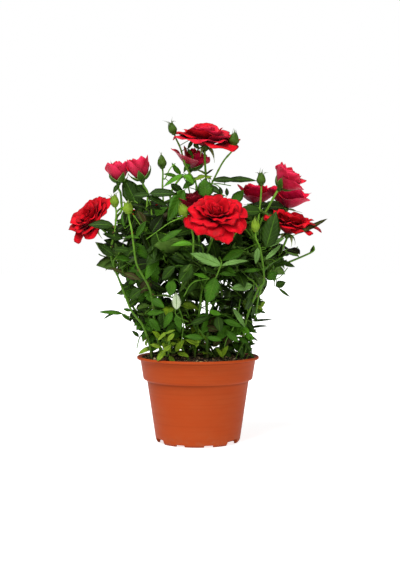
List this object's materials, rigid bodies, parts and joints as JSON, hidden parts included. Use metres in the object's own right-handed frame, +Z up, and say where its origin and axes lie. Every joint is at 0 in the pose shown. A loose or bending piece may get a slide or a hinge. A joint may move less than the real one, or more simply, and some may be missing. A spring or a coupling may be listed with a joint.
{
  "type": "potted rose bush",
  "caption": "Bushy miniature rose in a round moulded nursery pot, with leafy canes, open and half-open blooms and upright buds.",
  "frame": {"origin": "middle of the flat disc on the pot's underside, on the surface that the pot stands on", "axes": "+Z up, through the middle of the pot; the front of the bush faces -Y and its right side +X"},
  "size_m": [0.2572, 0.2016, 0.3154],
  "materials": {
    "pot": "satin moulded terracotta-coloured plastic",
    "soil": "dark, crumbly peat with fibres and bark",
    "cane": "smooth green living bark, browner at the foot",
    "foliage": "satin dark green rose leaves, paler underneath",
    "petal": "velvety red petals with a pinker back",
    "bud": "satin green sepals"
  },
  "bodies": {
    "root": {"bloom_back_left": "petal", "bloom_back_right": "petal", "bloom_behind": "petal", "bloom_centre": "petal", "bloom_left": "petal", "bloom_pair_inner": "petal", "bloom_pair_outer": "petal", "bloom_rear_top": "petal", "bloom_right_high": "petal", "bloom_right_inner": "petal", "bloom_right_low": "petal", "bloom_right_outer": "petal", "bloom_top": "petal", "bud_centre": "bud", "bud_left_front": "bud", "bud_left_outer": "bud", "bud_right_front": "bud", "bud_top_left": "bud", "bud_top_right": "bud", "bud_upper_left": "bud", "bud_upper_right": "bud", "cane_centre": "cane", "cane_front": "cane", "cane_left": "cane", "cane_left_back": "cane", "cane_left_front": "cane", "cane_left_outer": "cane", "cane_right": "cane", "cane_right_back": "cane", "cane_right_front": "cane", "foliage_back_left": "foliage", "foliage_back_low": "foliage", "foliage_back_right": "foliage", "foliage_core_left": "foliage", "foliage_core_right": "foliage", "foliage_front": "foliage", "foliage_high_left": "foliage", "foliage_high_right": "foliage", "foliage_left": "foliage", "foliage_lower_front": "foliage", "foliage_lower_left": "foliage", "foliage_lower_right": "foliage", "foliage_right": "foliage", "foliage_top": "foliage", "leaf_left_low": "foliage", "leaf_right_high": "foliage", "leaf_right_mid": "foliage", "pot": "pot", "soil": "soil", "stalk_behind": "cane", "stalk_centre": "cane", "stalk_left": "cane", "stalk_pair_inner": "cane", "stalk_pair_outer": "cane", "stalk_rear_top": "cane", "stalk_right_high": "cane", "stalk_right_outer": "cane", "stalk_top": "cane"}
  },
  "joints": []
}
